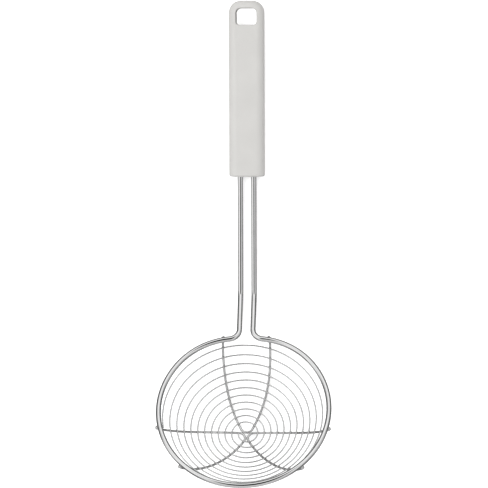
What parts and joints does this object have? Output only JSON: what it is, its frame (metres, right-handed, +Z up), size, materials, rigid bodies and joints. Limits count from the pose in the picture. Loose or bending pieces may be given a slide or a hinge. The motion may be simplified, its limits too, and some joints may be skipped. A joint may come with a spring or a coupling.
{
  "type": "skimmer",
  "caption": "Wire skimmer: a shallow round basket of spiral wire on bent ribs, in a looped wire frame, on a flat moulded handle with a hang hole.",
  "frame": {"origin": "on the surface that the skimmer lies on, under the middle of its length, on its plane of symmetry", "axes": "+Y along the skimmer towards the handle's hang end, +Z up, out of the basket's mouth, +X to the right seen from above with the handle up"},
  "size_m": [0.1305, 0.3642, 0.0726],
  "materials": {
    "handle_plastic": "satin",
    "frame_steel": "polished",
    "rib_steel": "polished",
    "spiral_steel": "polished"
  },
  "bodies": {
    "root": {"handle_grip": "handle_plastic", "frame_wire": "frame_steel", "rib_wire_handle_side": "rib_steel", "rib_wire_left": "rib_steel", "rib_wire_right": "rib_steel", "spiral_wire": "spiral_steel"}
  },
  "joints": []
}
